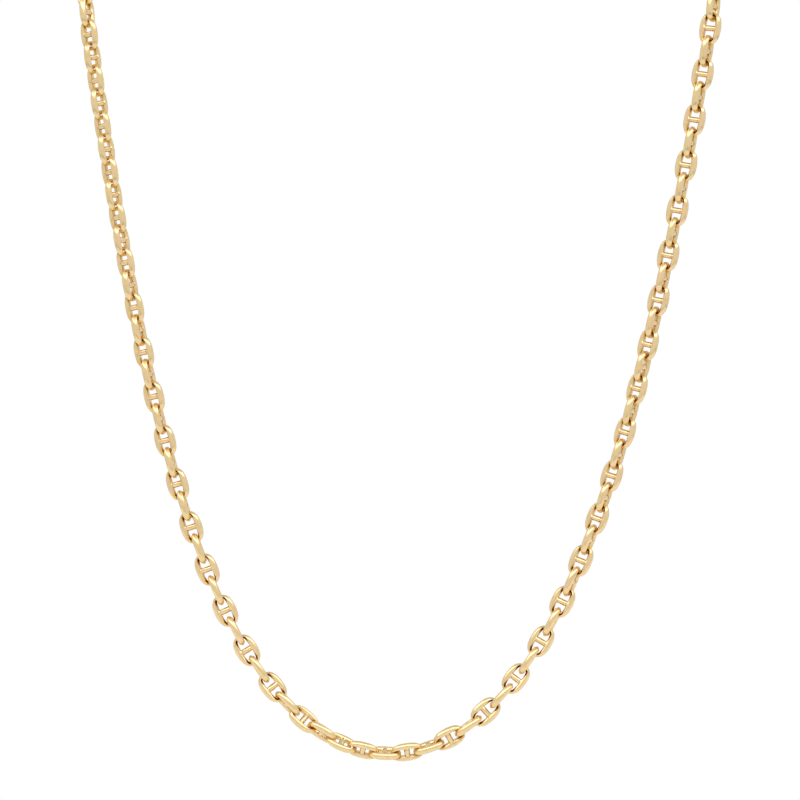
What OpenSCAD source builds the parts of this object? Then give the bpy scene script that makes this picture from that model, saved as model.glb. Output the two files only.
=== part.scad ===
// Necklace of oval anchor links, each with a bar across it, closed by a clasp at the nape.
// Millimetres. +Z is up, the front faces -Y, and the origin is where the clasp rests on the neck.

/* [Link] */
// Length of a link over its ends
link_l = 5.46; // [5.42:0.01:5.5]
// Width of a link over its sides
link_w = 3.72; // [3.6:0.01:3.8]
// Depth of a link from face to face
link_t = 1.12; // [1.05:0.01:1.13]
// Thickness of a link's wire at the two ends
end_t = 0.7; // [0.6:0.01:0.72]
// Width of a link's wire along the sides
side_t = 0.84; // [0.8:0.01:0.88]
// Thickness of the bar across a link
bar_d = 0.98; // [0.8:0.01:1.02]
// How far the bevel along a link's sides goes down from the faces
bevel_t = 0.3; // [0.2:0.01:0.35]
// How far that bevel reaches over the faces
bevel_w = 0.34; // [0.3:0.01:0.45]
// How far the slope at a link's ends goes down from the faces
tip_t = 0.28; // [0.24:0.01:0.32]
// How far that slope reaches over the faces
tip_w = 1.1; // [1.05:0.05:1.2]
// Radius of a link's bowed sides
bow_r = 4.1; // [3.9:0.1:4.5]
// Radius of a link's ends
tip_r = 1.75; // [1.7:0.01:1.8]

/* [Drape] */
// Radius of the hanging curve at its lowest point
curve_r = 19.13; // [18.8:0.01:19.5]
// Lean of the hanging curve from upright, in degrees
lean = 0.81; // [0:0.01:1.2]
// Sideways place of the lowest point
low_x = -1.77; // [-2.5:0.01:0]
// Depth of the hanging front below the nape
drop = 157.55; // [155:0.05:159]
// How far the top of the front spreads out on each side, past the hanging curve
flare = 0.45; // [0:0.01:1]
// How far the front hangs ahead of the nape
front_y = 72; // [71:0.5:73]
// Pull of the curve upwards where it leaves the front
rise_pull = 41; // [40:0.5:42]
// Pull of the curve sideways where it meets the clasp
nape_pull = 36; // [35:0.5:37]

/* [Clasp] */
// Thickness of the clasp's middle
clasp_t = 1.8; // [1.4:0.1:2]
// Thickness of its two loops
loop_t = 1.1; // [0.9:0.05:1.15]
// Radius of its large loop
claw_r = 2.8; // [2.75:0.05:2.9]
// Width of the metal round the large loop
claw_w = 0.85; // [0.7:0.05:0.9]
// Radius of the hole in its small loop
eye_r = 1; // [1:0.05:1.1]
// Width of the metal round that hole
eye_w = 0.65; // [0.5:0.05:0.7]

/* [Hidden] */

// Links a side, and how many of them hang in the front curve
side_n = 65;
front_n = 36;
back_n = side_n - front_n;

// Joints along the front curve: the middle one's place, their spacing there, and how it widens upwards
joint_0 = 1.26;
joint_gap = 3.74;
joint_growth = 3.5e-5;

// Distance along the curve, from its lowest point, at which the spread is reached
flare_s = 130;

// Half the distance between the two joints that the clasp closes, and its middle plane
clasp_half = 5.65;
clasp_y = clasp_t/2;

// Turn of the links about the chain's line, in degrees from facing the front.
// Columns: link counted from the bottom, turn of an odd link there, turn of an even one
turns = [
  [-65, -90,   0],
  [-36,  52, 125],
  [-29,  50, 121],
  [-26,  42, 115],
  [-22,  33, 105],
  [-18,  26,  99],
  [-15,  19,  92],
  [-12,  13,  88],
  [ -9,   5,  88],
  [ -7, -12,  80],
  [ -5, -37,  67],
  [ -3, -60,  55],
  [ -1, -71,  44],
  [  1, -78,  37],
  [  3, -88,  21],
  [  5, -92,  -5],
  [  8, -96, -12],
  [ 11, -107, -17],
  [ 14, -110, -28],
  [ 18, -114, -36],
  [ 21, -120, -41],
  [ 24, -115, -31],
  [ 28, -108, -26],
  [ 36, -115, -27],
  [ 65, -180, -90]
];
odd_turns = [for (row = turns) [row[0], row[1]]];
even_turns = [for (row = turns) [row[0], row[2]]];

// Opening of a link: radius of its sides, how far its corners are cut, and half the size of its square middle
open_r = 7;
open_cut = 2.6;
open_x = 0.98;
open_y = 1.9;

// Bevel round the opening: how far it goes down and how far it reaches over the faces
inner_t = 0.4;
inner_w = 0.22;

// Front curve, a chain hanging by its own weight that spreads a little at the top, measured from its lowest point
function asinh(x) = ln(x + sqrt(x*x + 1));
function hang_x(s) = curve_r*asinh(s/curve_r) + sign(s)*flare*pow(s/flare_s, 4);
function hang_z(s) = sqrt(curve_r*curve_r + s*s) - curve_r;
function front_point(s) = [
  low_x + hang_x(s)*cos(lean) + hang_z(s)*sin(lean),
  -front_y,
  hang_z(s)*cos(lean) - hang_x(s)*sin(lean) - drop
];
function front_joint(k) = front_point(joint_0 + joint_gap*k + joint_growth*k*k*k);

// Back curve of one side, from the top of the front to the clasp
function unit(v) = v/norm(v);
function front_end(side) = front_joint(side*front_n);
function front_way(side) = unit(front_end(side) - front_joint(side*(front_n - 0.1)));
function nape_end(side) = [side*clasp_half, clasp_y, 0];
function back_pulls(side) = [
  front_end(side),
  front_end(side) + rise_pull*front_way(side),
  nape_end(side) + [side*nape_pull, 0, 0],
  nape_end(side)
];
function blend(p, t) = pow(1 - t, 3)*p[0] + 3*t*pow(1 - t, 2)*p[1] + 3*t*t*(1 - t)*p[2] + pow(t, 3)*p[3];

// Length along the back curve against its parameter, to space the joints evenly
back_steps = 60;
function step_l(p, i) = norm(blend(p, (i + 1)/back_steps) - blend(p, i/back_steps));
function back_lengths(p) = [for (i = 0, l = 0; i <= back_steps; l = l + step_l(p, i), i = i + 1) [l, i/back_steps]];
function back_joints(side) = let (p = back_pulls(side), table = back_lengths(p), whole = table[back_steps][0])
  [for (j = [0:back_n]) blend(p, lookup(whole*j/back_n, table))];
left_back = back_joints(-1);
right_back = back_joints(1);
function joint(k) = k < -front_n ? left_back[-k - front_n] : k > front_n ? right_back[k - front_n] : front_joint(k);

// What a link that isn't turned faces: forwards in front, and round over the top to backwards at the nape
function facing(k) = let (a = 180*max(0, abs(k + 0.5) - front_n)/back_n) [0, -cos(a), sin(a)];
function turn(k) = lookup(k, k % 2 == 0 ? even_turns : odd_turns);

// Section through a link, cut off at all four corners
module bevelled(size, reach, depth) {
  polygon([
    [-size/2, depth - link_t/2],
    [reach - size/2, -link_t/2],
    [size/2 - reach, -link_t/2],
    [size/2, depth - link_t/2],
    [size/2, link_t/2 - depth],
    [size/2 - reach, link_t/2],
    [reach - size/2, link_t/2],
    [-size/2, link_t/2 - depth]
  ]);
}

// Section of the opening, bevelled wider towards both faces
module flared(size) {
  polygon([
    [-size/2, inner_t - link_t/2],
    [-inner_w - size/2, -link_t/2],
    [-inner_w - size/2, -link_t],
    [inner_w + size/2, -link_t],
    [inner_w + size/2, -link_t/2],
    [size/2, inner_t - link_t/2],
    [size/2, link_t/2 - inner_t],
    [inner_w + size/2, link_t/2],
    [inner_w + size/2, link_t],
    [-inner_w - size/2, link_t],
    [-inner_w - size/2, link_t/2],
    [-size/2, link_t/2 - inner_t]
  ]);
}

// Bowed sides with rounded ends
module link_outline() {
  intersection() {
    translate([link_w/2 - bow_r, 0]) circle(bow_r, $fn = 72);
    translate([bow_r - link_w/2, 0]) circle(bow_r, $fn = 72);
    union() {
      square([link_w, link_l - 2*tip_r], center = true);
      for (end = [-1, 1]) translate([0, end*(link_l/2 - tip_r)]) circle(tip_r, $fn = 48);
    }
  }
}

module link_opening() {
  intersection() {
    translate([link_w/2 - side_t - open_r, 0]) circle(open_r, $fn = 96);
    translate([open_r + side_t - link_w/2, 0]) circle(open_r, $fn = 96);
    square([link_w, link_l - 2*end_t], center = true);
    rotate(45) square(open_cut*sqrt(2), center = true);
  }
}

// A link lies along Y with its faces up and down
module link() {
  difference() {
    intersection() {
      linear_extrude(height = link_t, center = true) difference() {
        link_outline();
        link_opening();
      }
      rotate([90, 0, 0]) linear_extrude(height = 2*link_l, center = true) bevelled(link_w, bevel_w, bevel_t);
      rotate([90, 0, 90]) linear_extrude(height = 2*link_l, center = true) bevelled(link_l, tip_w, tip_t);
    }
    rotate([90, 0, 0]) linear_extrude(height = 2*open_y, center = true) flared(2*open_x);
    rotate([90, 0, 90]) linear_extrude(height = 2*open_x, center = true) flared(link_l - 2*end_t);
  }
  rotate([0, 90, 0]) cylinder(h = link_w - side_t, d = bar_d, center = true, $fn = 24);
}

// Places link k between its two joints, turned about the line between them
module at_link(k) {
  along = unit(joint(k + 1) - joint(k));
  middle = (joint(k + 1) + joint(k))/2;
  face = unit(facing(k) - (facing(k)*along)*along);
  out = cross(along, face);
  across = out*cos(turn(k)) - face*sin(turn(k));
  up = face*cos(turn(k)) + out*sin(turn(k));
  multmatrix([
    [across[0], along[0], up[0], middle[0]],
    [across[1], along[1], up[1], middle[1]],
    [across[2], along[2], up[2], middle[2]]
  ]) children();
}

// Links on the left of the lowest joint, up to the clasp
module left_chain() {
  color("gold") for (k = [-side_n:-1]) at_link(k) link();
}

// Links on its right, up to the clasp
module right_chain() {
  color("gold") for (k = [0:side_n - 1]) at_link(k) link();
}

// Clasp in its own plane, the large loop on the left and the small one on the right
claw_x = -3.86;
eye_x = 4.81;
waist_x = 2.2;
waist_w = 1.9;
slot_x = -1.3;
slot_r = 1;

module clasp_outline() {
  translate([claw_x, 0]) circle(claw_r, $fn = 72);
  translate([eye_x, 0]) circle(eye_r + eye_w, $fn = 48);
  polygon([
    [claw_x + 1, claw_r - 0.2],
    [waist_x, waist_w/2],
    [eye_x, waist_w/2],
    [eye_x, -waist_w/2],
    [waist_x, -waist_w/2],
    [claw_x + 1, 0.2 - claw_r]
  ]);
}

module clasp_openings() {
  translate([claw_x, 0]) circle(claw_r - claw_w, $fn = 72);
  translate([slot_x, 0]) circle(slot_r, $fn = 36);
  polygon([
    [claw_x + 0.6, claw_r - claw_w - 0.15],
    [slot_x + 0.25, slot_r - 0.05],
    [slot_x + 0.25, 0.05 - slot_r],
    [claw_x + 0.6, 0.15 + claw_w - claw_r]
  ]);
  translate([eye_x, 0]) circle(eye_r, $fn = 48);
}

module clasp() {
  color("gold") translate([0, clasp_y, 0]) rotate([90, 0, 0]) {
    linear_extrude(height = loop_t, center = true) difference() {
      clasp_outline();
      clasp_openings();
    }
    linear_extrude(height = clasp_t, center = true) intersection() {
      difference() {
        clasp_outline();
        clasp_openings();
      }
      translate([slot_x + 1.9, 0]) square([4.4, 2*claw_r], center = true);
    }
  }
}

left_chain();
right_chain();
clasp();
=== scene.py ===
import math
import random
import bmesh
import bpy
import numpy as np
from mathutils import Matrix, Vector


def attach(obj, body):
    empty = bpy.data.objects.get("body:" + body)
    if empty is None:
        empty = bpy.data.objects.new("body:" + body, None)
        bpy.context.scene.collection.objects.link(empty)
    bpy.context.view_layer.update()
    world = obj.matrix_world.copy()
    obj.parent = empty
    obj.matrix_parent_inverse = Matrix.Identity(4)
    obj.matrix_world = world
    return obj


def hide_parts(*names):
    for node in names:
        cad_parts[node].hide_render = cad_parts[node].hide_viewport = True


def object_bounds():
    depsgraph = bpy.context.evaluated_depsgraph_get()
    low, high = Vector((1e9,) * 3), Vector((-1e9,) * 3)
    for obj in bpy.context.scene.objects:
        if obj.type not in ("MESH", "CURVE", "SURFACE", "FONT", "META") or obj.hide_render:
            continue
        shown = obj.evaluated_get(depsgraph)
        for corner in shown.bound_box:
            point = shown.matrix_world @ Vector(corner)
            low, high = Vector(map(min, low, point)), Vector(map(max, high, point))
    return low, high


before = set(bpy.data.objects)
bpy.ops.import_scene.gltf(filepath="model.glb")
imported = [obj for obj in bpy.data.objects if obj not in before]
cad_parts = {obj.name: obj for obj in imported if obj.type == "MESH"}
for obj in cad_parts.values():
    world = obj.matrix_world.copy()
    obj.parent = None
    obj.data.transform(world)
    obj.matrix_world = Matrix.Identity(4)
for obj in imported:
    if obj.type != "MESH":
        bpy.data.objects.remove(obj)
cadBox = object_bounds()
mm = 0.001
weld = 0.001 * mm  # points that lie closer than this are one point
print("frame loaded:", ", ".join(sorted(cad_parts)))


# Selecting, placing and joining

def selectOnly(obj):
    bpy.ops.object.select_all(action="DESELECT")
    obj.select_set(True)
    bpy.context.view_layer.objects.active = obj


def activeAs(name):
    obj = bpy.context.view_layer.objects.active
    obj.name = name
    return obj


def applyPlace(obj):
    selectOnly(obj)
    bpy.ops.object.transform_apply(location=True, rotation=True, scale=True)


def applyModifier(obj, kind, **settings):
    modifier = obj.modifiers.new(kind.title(), kind)
    for key, value in settings.items():
        setattr(modifier, key, value)
    selectOnly(obj)
    bpy.ops.object.modifier_apply(modifier=modifier.name)


def joinAll(objects, name):
    selectOnly(objects[0])
    for obj in objects[1:]:
        obj.select_set(True)
    bpy.ops.object.join()
    return activeAs(name)


# Shader nodes

class Wire:
    # A socket that can be written in a sum
    def __init__(self, sheet, socket):
        self.sheet = sheet
        self.socket = socket

    def math(self, operation, first, second):
        return self.sheet.math(operation, first, second)

    def __add__(self, other):
        return self.math("ADD", self, other)

    def __radd__(self, other):
        return self.math("ADD", other, self)

    def __sub__(self, other):
        return self.math("SUBTRACT", self, other)

    def __rsub__(self, other):
        return self.math("SUBTRACT", other, self)

    def __mul__(self, other):
        return self.math("MULTIPLY", self, other)

    def __rmul__(self, other):
        return self.math("MULTIPLY", other, self)


class Sheet:
    # The node tree of one material or world
    def __init__(self, owner):
        owner.use_nodes = True
        self.tree = owner.node_tree
        self.tree.nodes.clear()

    def add(self, kind, settings=None, inputs=None, out=0):
        node = self.tree.nodes.new(kind)
        for key, value in (settings or {}).items():
            if key == "stops":
                ramp = node.color_ramp.elements
                while len(ramp) < len(value):
                    ramp.new(0.5)
                for stop, (place, colour) in zip(ramp, value):
                    stop.position = place
                    stop.color = (*colour, 1)
            else:
                setattr(node, key, value)
        for key, value in (inputs or {}).items():
            if isinstance(value, Wire):
                self.tree.links.new(value.socket, node.inputs[key])
            else:
                node.inputs[key].default_value = value
        return Wire(self, node.outputs[out]) if node.outputs else None

    def math(self, operation, first, second):
        return self.add("ShaderNodeMath", {"operation": operation}, {0: first, 1: second})


def mixColours(sheet, share, first, second):
    wires = {0: share, 6: first, 7: second}
    for key in (6, 7):
        if not isinstance(wires[key], Wire):
            wires[key] = (*wires[key], 1)
    return sheet.add("ShaderNodeMix", {"data_type": "RGBA"}, wires, out=2)


# Gold

gold = {
    "pale": (0.89, 0.685, 0.33),
    "rosyToneAndReflection": (0.92, 0.665, 0.39),
    "patchSize": 1.6,     # patches of pale and rosy; all sizes and heights here are in millimetres
    "green": (0.83, 0.69, 0.31),
    "tintShare": 0.45,    # how far a link may differ from its neighbours
    "rimReflectionShare": 0.6,      # painted reflection, rosier along the bevels
    "dull": (0.62, 0.47, 0.22),
    "cloudSize": 0.5,
    "cloudFrom": 0.45,
    "cloudSteepness": 3,
    "cloudShare": 0.38,
    "nookGlow": (0.76, 0.44, 0.05),    # painted glow of light bounced deep between two links, and its painted dark shade core
    "nookShadeCore": (0.32, 0.125, 0.002),
    # painted shade colour for the window's walls and bevels and where the bar meets the wire
    "seamShadeColour": (0.15, 0.11, 0.035),
    "seamShadeShare": 0.75,
    "breakSize": 0.9,     # the dark lines come and go
    "breakFrom": 0.38,
    "breakSteepness": 4,
    "breakLeast": 0.15,
    "roughness": 0.2,
    "roughSpread": 0.1,
    "satinSize": 0.35,
    "waveSize": 1.1,
    "waveHeight": 0.009,
    "scratchSize": 0.12,
    "scratchHeight": 0.0025,
}


def goldMaterial(name="goldPolished"):
    material = bpy.data.materials.new(name)
    sheet = Sheet(material)
    place = sheet.add("ShaderNodeTexCoord", out=3)

    def noise(size, detail, stretch=(1, 1, 1)):
        scaled = sheet.add("ShaderNodeMapping", {"vector_type": "POINT"},
                           {"Vector": place, "Scale": [s / (size * mm) for s in stretch]})
        return sheet.add("ShaderNodeTexNoise", {}, {"Vector": scaled, "Scale": 1, "Detail": detail})

    def mark(name):
        return sheet.add("ShaderNodeAttribute", {"attribute_name": name}, out=2)

    def between(low, high, share):
        return sheet.math("MINIMUM", high, sheet.math("MAXIMUM", low, share))

    warm = mixColours(sheet, noise(gold["patchSize"], 2), gold["pale"], gold["rosyToneAndReflection"])
    plain = mixColours(sheet, gold["tintShare"] * mark("tint"), warm, gold["green"])
    # painted reflection: the bevel faces turn rosier by how they lean
    rimReflected = mixColours(sheet, gold["rimReflectionShare"] * mark("rim"), plain, gold["rosyToneAndReflection"])
    clouds = gold["cloudSteepness"] * (noise(gold["cloudSize"], 2, (1, 1, 0.6)) - gold["cloudFrom"])
    beforePaintedShade = mixColours(sheet, gold["cloudShare"] * between(0, 1, clouds), rimReflected, gold["dull"])
    # painted glow and painted shade deep between two links
    nook = mark("nook")
    glowing = mixColours(sheet, between(0, 1, 2 * nook), beforePaintedShade, gold["nookGlow"])
    nookShaded = mixColours(sheet, between(0, 1, 2 * nook - 1), glowing, gold["nookShadeCore"])
    # painted shade lines along the window's walls and the bar's roots, broken up by noise
    breaks = gold["breakSteepness"] * (noise(gold["breakSize"], 1) - gold["breakFrom"])
    seam = mark("seam") * between(gold["breakLeast"], 1, breaks)
    colour = mixColours(sheet, gold["seamShadeShare"] * seam, nookShaded, gold["seamShadeColour"])

    roughness = gold["roughness"] + gold["roughSpread"] * (noise(gold["satinSize"], 4) - 0.5)
    waves = noise(gold["waveSize"], 1)
    swell = sheet.add("ShaderNodeBump", {},
                      {"Strength": 1, "Distance": gold["waveHeight"] * mm, "Height": waves})
    scratches = noise(gold["scratchSize"], 3, (1, 1, 0.15))
    marks = sheet.add("ShaderNodeBump", {},
                      {"Strength": 1, "Distance": gold["scratchHeight"] * mm, "Height": scratches,
                       "Normal": swell})
    surface = sheet.add("ShaderNodeBsdfPrincipled", {},
                        {"Base Color": colour, "Metallic": 1, "Roughness": roughness, "Normal": marks})
    sheet.add("ShaderNodeOutputMaterial", {}, {"Surface": surface})
    return material


goldFinish = goldMaterial()
print("gold mixed")


# One link, lying along Y with its faces up and down

link = {
    "outline": {"halfX": 1.85, "halfY": 2.73, "sideHandle": 0.78, "endHandle": 0.58},
    "window": {"halfX": 0.86, "halfY": 2.05, "sideHandle": 0.95, "endHandle": 0.85},
    "outlineSteps": 8,
    "depth": 1.12,
    "corner": 0.32,       # bevelled edges of the flat wire, in one flat each
    "cornerSteps": 0,
    "tipFrom": 1.5,       # the faces close in towards the tips as an ellipse of this reach
    "tipReach": 1.45,
    "tipSteps": 12,
    "bar": 0.98,
    "barNeck": 0.84,
    "neckLength": 0.16,
    "barSides": 16,
    "smoothBelow": 50,
    "wallShare": 0.45,    # painted shade on the window's wall, its bevels and where the bar meets them
    "bevelShare": 0.12,
    "rootShare": 0.6,
    "facesIn": 0.3,       # a face with more than this of its normal towards the middle belongs to the window
    "wallTilt": 0.4,      # walls, bevels and faces told apart by how far their normals lean up or down
    "rimTilt": 0.2,
    "bevelTilt": 0.9,
    "faceTilt": 0.97,
    "nookCore": 0.64,     # reach of the painted shade core and of the painted glow round it, from the inside of each tip
    "nookEdge": 1.3,
    "nookInside": 0.3,    # how much further they reach on the sides that face the middle
}


def faceOutwards(obj):
    selectOnly(obj)
    bpy.ops.object.mode_set(mode="EDIT")
    bpy.ops.mesh.select_all(action="SELECT")
    bpy.ops.mesh.normals_make_consistent(inside=False)
    bpy.ops.object.mode_set(mode="OBJECT")


def ovalPath(name, shape, grown):
    # A closed curve with fuller sides and ends than an ellipse
    bpy.ops.curve.primitive_bezier_circle_add(radius=1, location=(0, 0, 0))
    curve = activeAs(name)
    curve.data.resolution_u = link["outlineSteps"]
    for point in curve.data.splines[0].bezier_points:
        atEnd = abs(point.co.y) > abs(point.co.x)
        point.handle_left_type = "FREE"
        point.handle_right_type = "FREE"
        handle = (point.handle_right - point.co).normalized() * shape["endHandle" if atEnd else "sideHandle"]
        point.handle_right = point.co + handle
        point.handle_left = point.co - handle
    curve.scale = ((shape["halfX"] + grown) * mm, (shape["halfY"] + grown) * mm, 1)
    applyPlace(curve)
    for point in curve.data.splines[0].bezier_points:
        point.radius = 1
    return curve


def makePlate():
    # The flat wire as a plate with a window, its edges bevelled
    window = ovalPath("linkWindow", link["window"], link["corner"])
    selectOnly(window)
    bpy.ops.object.mode_set(mode="EDIT")
    bpy.ops.curve.select_all(action="SELECT")
    bpy.ops.curve.switch_direction()
    bpy.ops.object.mode_set(mode="OBJECT")
    outline = ovalPath("linkOutline", link["outline"], -link["corner"])
    plate = joinAll([outline, window], "linkPlate")
    plate.data.dimensions = "2D"
    plate.data.fill_mode = "BOTH"
    plate.data.extrude = (link["depth"] / 2 - link["corner"]) * mm
    plate.data.bevel_depth = link["corner"] * mm
    plate.data.bevel_resolution = link["cornerSteps"]
    selectOnly(plate)
    bpy.ops.object.convert(target="MESH")
    plate = activeAs("linkRing")
    bpy.ops.object.mode_set(mode="EDIT")
    bpy.ops.mesh.select_all(action="SELECT")
    bpy.ops.mesh.remove_doubles(threshold=weld)
    bpy.ops.object.mode_set(mode="OBJECT")
    faceOutwards(plate)
    return plate


def thinTips(ring):
    # All that lies beyond each step is flattened once more, so the depth follows the ellipse
    stepLength = (link["outline"]["halfY"] - link["tipFrom"]) / link["tipSteps"]
    depth = 1
    for step in range(link["tipSteps"]):
        reached = (step + 0.5) * stepLength / link["tipReach"]
        share = math.sqrt(1 - reached ** 2) / depth
        depth = depth * share
        selectOnly(ring)
        bpy.ops.object.mode_set(mode="EDIT")
        bpy.ops.mesh.select_mode(type="VERT")
        bpy.ops.mesh.select_all(action="DESELECT")
        mesh = bmesh.from_edit_mesh(ring.data)
        for vertex in mesh.verts:
            vertex.select = abs(vertex.co.y) > (link["tipFrom"] + step * stepLength) * mm
        bmesh.update_edit_mesh(ring.data)
        bpy.ops.transform.resize(value=(1, 1, share), center_override=(0, 0, 0))
        bpy.ops.object.mode_set(mode="OBJECT")


def makeBar():
    # A round bar across the link, with a slight neck where it enters the wire
    inner = 2 * link["window"]["halfX"]
    bpy.ops.object.select_all(action="DESELECT")
    bpy.ops.mesh.primitive_cylinder_add(vertices=link["barSides"], radius=link["bar"] / 2 * mm,
                                        depth=(inner - 2 * link["neckLength"]) * mm,
                                        rotation=(0, 0, math.pi / link["barSides"]))
    bar = activeAs("linkBar")
    applyPlace(bar)
    bar.rotation_euler = (0, math.pi / 2, 0)  # laid down with a flat, not an edge, in the link's middle plane
    applyPlace(bar)
    neckShare = link["barNeck"] / link["bar"]
    for side in (-1, 1):
        for step, share in ((link["neckLength"], neckShare), (link["neckLength"], 1)):
            bpy.ops.object.mode_set(mode="EDIT")
            bpy.ops.mesh.select_mode(type="FACE")
            bpy.ops.mesh.select_all(action="DESELECT")
            mesh = bmesh.from_edit_mesh(bar.data)
            furthest = max(face.calc_center_median().x * side for face in mesh.faces)
            for face in mesh.faces:
                face.select = face.calc_center_median().x * side > furthest - weld
            bmesh.update_edit_mesh(bar.data)
            bpy.ops.mesh.extrude_region_move(TRANSFORM_OT_translate={"value": (side * step * mm, 0, 0)})
            bpy.ops.transform.resize(value=(1, share, share), center_override=(0, 0, 0))
            bpy.ops.object.mode_set(mode="OBJECT")
    faceOutwards(bar)
    return bar


def markLink(ring):
    # Painted shade along the window's edges and where the bar meets the wire, and painted glow and shade deep
    # in the two ends
    bounds = [link["outline"][half] * mm for half in ("halfX", "halfY")]
    inner = link["window"]["halfX"]
    # painted shade on the window's walls and bevels and at the bar's roots
    seam = ring.data.attributes.new("seam", "FLOAT", "FACE")
    for face in ring.data.polygons:
        x, y = face.center.x, face.center.y
        outward = Vector((x / bounds[0] ** 2, y / bounds[1] ** 2)).normalized()
        inside = -outward.dot(face.normal.xy)
        tilt = abs(face.normal.z)
        if inside > link["facesIn"] and tilt < link["bevelTilt"]:
            seam.data[face.index].value = link["wallShare" if tilt < link["wallTilt"] else "bevelShare"]
        elif abs(y) < link["bar"] / 2 * mm and (inner - link["neckLength"]) * mm < abs(x) < inner * mm:
            seam.data[face.index].value = link["rootShare"]
    # painted reflection: bevel faces marked to turn rosier
    rim = ring.data.attributes.new("rim", "FLOAT", "FACE")
    for face in ring.data.polygons:
        rim.data[face.index].value = 1 if link["rimTilt"] < abs(face.normal.z) < link["faceTilt"] else 0
    # painted glow and painted shade core round the inside of each tip
    nook = ring.data.attributes.new("nook", "FLOAT", "POINT")
    for vertex in ring.data.vertices:
        x, y, z = vertex.co / mm
        away = Vector((x, abs(y) - link["window"]["halfY"], z)).length
        away += link["nookInside"] * vertex.normal.y * (1 if y > 0 else -1)
        share = (link["nookEdge"] - away) / (link["nookEdge"] - link["nookCore"])
        nook.data[vertex.index].value = min(1, max(0, share))


def makeLink():
    ring = makePlate()
    thinTips(ring)
    bar = makeBar()
    applyModifier(ring, "BOOLEAN", object=bar, operation="UNION", solver="MANIFOLD")
    bpy.data.objects.remove(bar)
    faceOutwards(ring)
    bpy.ops.object.shade_smooth_by_angle(angle=math.radians(link["smoothBelow"]))
    applyModifier(ring, "WEIGHTED_NORMAL", weight=60, keep_sharp=True)
    markLink(ring)
    return ring


# Where a node's links lie, read from its solids

def mainDirections(mesh):
    # Middle of a closed mesh and its thinnest, second and longest directions, weighed by surface
    mesh.calc_loop_triangles()
    points = np.array([v.co for v in mesh.vertices], float)
    corners = points[np.array([t.vertices[:] for t in mesh.loop_triangles])]
    areas = np.array([t.area for t in mesh.loop_triangles])
    middle = (areas[:, None] * corners.mean(1)).sum(0) / areas.sum()
    corners = corners - middle
    whole = corners.sum(1)
    spread = np.einsum("t,tci,tcj->ij", areas, corners, corners)
    spread += np.einsum("t,ti,tj->ij", areas, whole, whole)
    directions = np.linalg.eigh(spread)[1]
    return Vector(middle), [Vector(directions[:, k]) for k in range(3)]


def linkPlaces(nodeName):
    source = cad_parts[nodeName]
    solids = bpy.data.objects.new(nodeName + "Solids", source.data.copy())
    bpy.context.scene.collection.objects.link(solids)
    selectOnly(solids)
    bpy.ops.object.mode_set(mode="EDIT")
    bpy.ops.mesh.select_all(action="SELECT")
    bpy.ops.mesh.remove_doubles(threshold=weld)
    bpy.ops.mesh.separate(type="LOOSE")
    bpy.ops.object.mode_set(mode="OBJECT")
    places = []
    for solid in list(bpy.context.selected_objects):
        middle, (face, across, along) = mainDirections(solid.data)
        across = along.cross(face)
        turn = Matrix((across, along, face)).transposed().to_4x4()
        places.append(Matrix.Translation(middle) @ turn)
        bpy.data.objects.remove(solid)
    return places


def makeChain(nodeName, pieceName, master, seed):
    shuffle = random.Random(seed)
    copies = []
    for place in linkPlaces(nodeName):
        copy = bpy.data.objects.new("link", master.data.copy())
        bpy.context.scene.collection.objects.link(copy)
        copy.matrix_world = place
        tint = copy.data.attributes.new("tint", "FLOAT", "POINT")
        tint.data.foreach_set("value", [shuffle.random()] * len(copy.data.vertices))
        copies.append(copy)
    chain = joinAll(copies, pieceName)
    applyPlace(chain)
    chain.data.materials.clear()
    chain.data.materials.append(goldFinish)
    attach(chain, "root")
    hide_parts(nodeName)
    print(pieceName, len(copies), "links", len(chain.data.polygons), "faces")


masterLink = makeLink()
print("link modelled:", len(masterLink.data.polygons), "faces")
makeChain("left_chain", "leftChain", masterLink, 3)
makeChain("right_chain", "rightChain", masterLink, 5)
bpy.data.objects.remove(masterLink)


# Clasp, the solid's form with its edges rounded

clasp = {"edge": 0.24, "steps": 3, "sharp": 40, "flat": 2}


def makeClasp():
    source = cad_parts["clasp"]
    body = bpy.data.objects.new("claspBody", source.data.copy())
    bpy.context.scene.collection.objects.link(body)
    selectOnly(body)
    bpy.ops.object.mode_set(mode="EDIT")
    bpy.ops.mesh.select_all(action="SELECT")
    bpy.ops.mesh.remove_doubles(threshold=weld)
    bpy.ops.mesh.dissolve_limited(angle_limit=math.radians(clasp["flat"]))
    bpy.ops.object.mode_set(mode="OBJECT")
    applyModifier(body, "BEVEL", width=clasp["edge"] * mm, segments=clasp["steps"], limit_method="ANGLE",
                  angle_limit=math.radians(clasp["sharp"]), harden_normals=False)
    bpy.ops.object.shade_smooth_by_angle(angle=math.radians(clasp["sharp"]))
    body.data.materials.clear()
    body.data.materials.append(goldFinish)
    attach(body, "root")
    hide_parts("clasp")
    print("clasp", len(body.data.polygons), "faces")


makeClasp()


# Stage, lights and camera, in metres

stage = {
    "floorGap": 0.1,
    "halfWidth": 0.45,    # narrow, so that the chain is lit from the sides
    "front": -0.4,
    "back": 2.2,
    "sweep": 0.8,
    "sweepSteps": 24,
    "height": 1.3,
    "domeRadius": 5.0,
    "domeSides": 64,
    "colour": (1.0, 1.0, 1.0, 1),
    "glow": 1.0,
}


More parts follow.
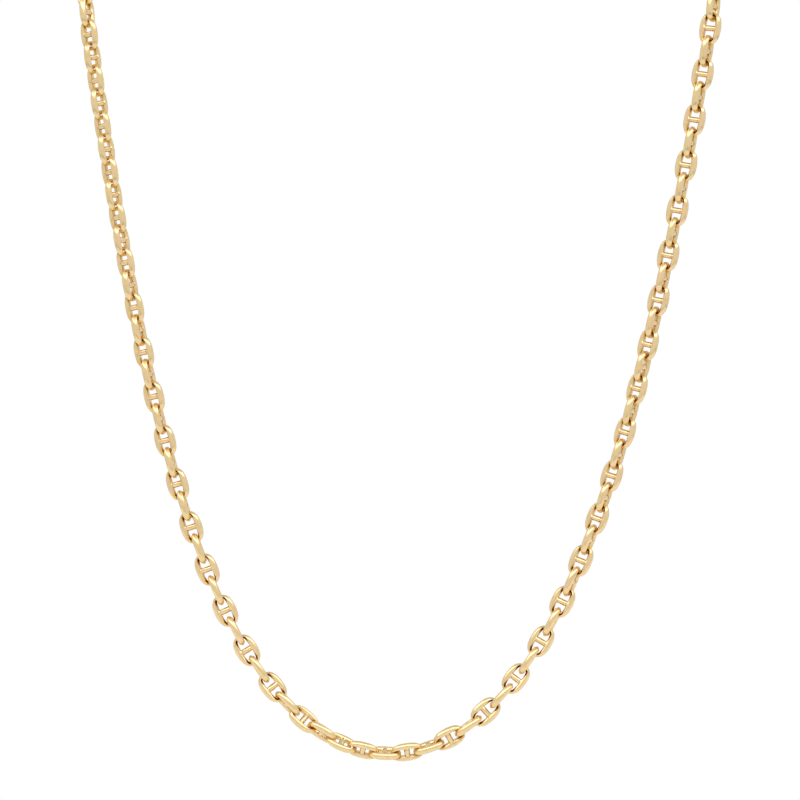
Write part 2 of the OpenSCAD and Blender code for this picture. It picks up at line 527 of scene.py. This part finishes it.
def makeStage():
    # A paper floor that sweeps up into a wall, and a dome that only the camera sees
    low = cadBox[0].z - stage["floorGap"]
    bpy.ops.object.select_all(action="DESELECT")
    bpy.ops.mesh.primitive_plane_add(size=1, location=(0, (stage["front"] + stage["back"]) / 2, low))
    floor = activeAs("studioFloor")
    floor.scale = (2 * stage["halfWidth"], stage["back"] - stage["front"], 1)
    applyPlace(floor)
    bpy.ops.object.mode_set(mode="EDIT")
    bpy.ops.mesh.select_mode(type="EDGE")
    bpy.ops.mesh.select_all(action="DESELECT")
    mesh = bmesh.from_edit_mesh(floor.data)
    for edge in mesh.edges:
        edge.select = all(v.co.y > 0 for v in edge.verts)  # the back edge alone
    bmesh.update_edit_mesh(floor.data)
    bpy.ops.mesh.extrude_region_move(TRANSFORM_OT_translate={"value": (0, 0, stage["height"])})
    bpy.ops.object.mode_set(mode="OBJECT")
    applyModifier(floor, "BEVEL", width=stage["sweep"], segments=stage["sweepSteps"], limit_method="ANGLE")
    bpy.ops.object.shade_smooth()
    material = bpy.data.materials.new("studioPaper")
    sheet = Sheet(material)
    glow = sheet.add("ShaderNodeEmission", {}, {0: stage["colour"], 1: stage["glow"]})
    sheet.add("ShaderNodeOutputMaterial", {}, {"Surface": glow})
    material.cycles.emission_sampling = "NONE"
    bpy.ops.mesh.primitive_uv_sphere_add(segments=stage["domeSides"], ring_count=stage["domeSides"] // 2,
                                         radius=stage["domeRadius"])
    dome = activeAs("studioDome")
    for rays in ("diffuse", "glossy", "transmission", "shadow"):
        setattr(dome, "visible_" + rays, False)
    for paper in (floor, dome):
        paper.data.materials.append(material)


# A light tent round the chain: pairs of a direction's height, or for hoodFront its depth, and the tone there
tent = {
    "strength": 4.0,
    "tones": ((-1.0, 0.2), (-0.6, 0.15), (-0.35, 0.14), (-0.2, 0.215),
              (0.3, 0.215), (0.6, 0.18), (1.0, 0.18)),
    "hood": ((0.42, 0.0), (0.56, 0.48), (0.7, 0.48), (0.84, 0.0)),
    "hoodFront": ((-0.5, 1.0), (0.15, 0.4), (0.5, 0.0)),
}


def makeWorld():
    world = bpy.data.worlds.new("studio")
    bpy.context.scene.world = world
    sheet = Sheet(world)
    way = sheet.add("ShaderNodeTexCoord", out=0)
    depth = sheet.add("ShaderNodeSeparateXYZ", {}, {0: way}, out=1)
    rise = sheet.add("ShaderNodeSeparateXYZ", {}, {0: way}, out=2)

    def ramp(tones, along):
        stops = [(0.5 + 0.5 * reach, (tone, tone, tone)) for reach, tone in tones]
        return sheet.add("ShaderNodeValToRGB", {"stops": stops}, {0: 0.5 + 0.5 * along})

    light = ramp(tent["tones"], rise) + ramp(tent["hood"], rise) * ramp(tent["hoodFront"], depth)
    sheet.add("ShaderNodeOutputWorld", {},
              {"Surface": sheet.add("ShaderNodeBackground", {}, {0: light, 1: tent["strength"]})})


softLamp = {"place": (0.0, -0.5, 1.0), "aim": (0, -0.05, -0.09), "size": 0.5, "watts": 0.3}


def makeLamp():
    bpy.ops.object.light_add(type="AREA", location=softLamp["place"])
    lamp = activeAs("topSoft")
    lamp.data.shape = "DISK"
    lamp.data.size = softLamp["size"]
    lamp.data.energy = softLamp["watts"]
    towards = Vector(softLamp["aim"]) - Vector(softLamp["place"])
    lamp.rotation_euler = towards.to_track_quat("-Z", "Y").to_euler()


# The photograph's frame in millimetres, where the chain's front hangs
camera = {
    "lens": 200,
    "sensor": 36,
    "frameWidth": 133.33,
    "middleX": 0.15,
    "middleZ": -98.59,
    "frontY": -72,
    "near": 0.01,
    "far": 20,
}


def makeCamera():
    distance = camera["frameWidth"] * camera["lens"] / camera["sensor"]
    place = Vector((camera["middleX"], camera["frontY"] - distance, camera["middleZ"])) * mm
    bpy.ops.object.camera_add(location=place, rotation=(math.pi / 2, 0, 0))
    view = activeAs("photoCamera")
    view.data.lens = camera["lens"]
    view.data.sensor_width = camera["sensor"]
    view.data.clip_start = camera["near"]
    view.data.clip_end = camera["far"]
    bpy.context.scene.camera = view


makeStage()
makeWorld()
makeLamp()
makeCamera()
bpy.context.scene.view_settings.view_transform = "Standard"
print("stage, lights and camera set")
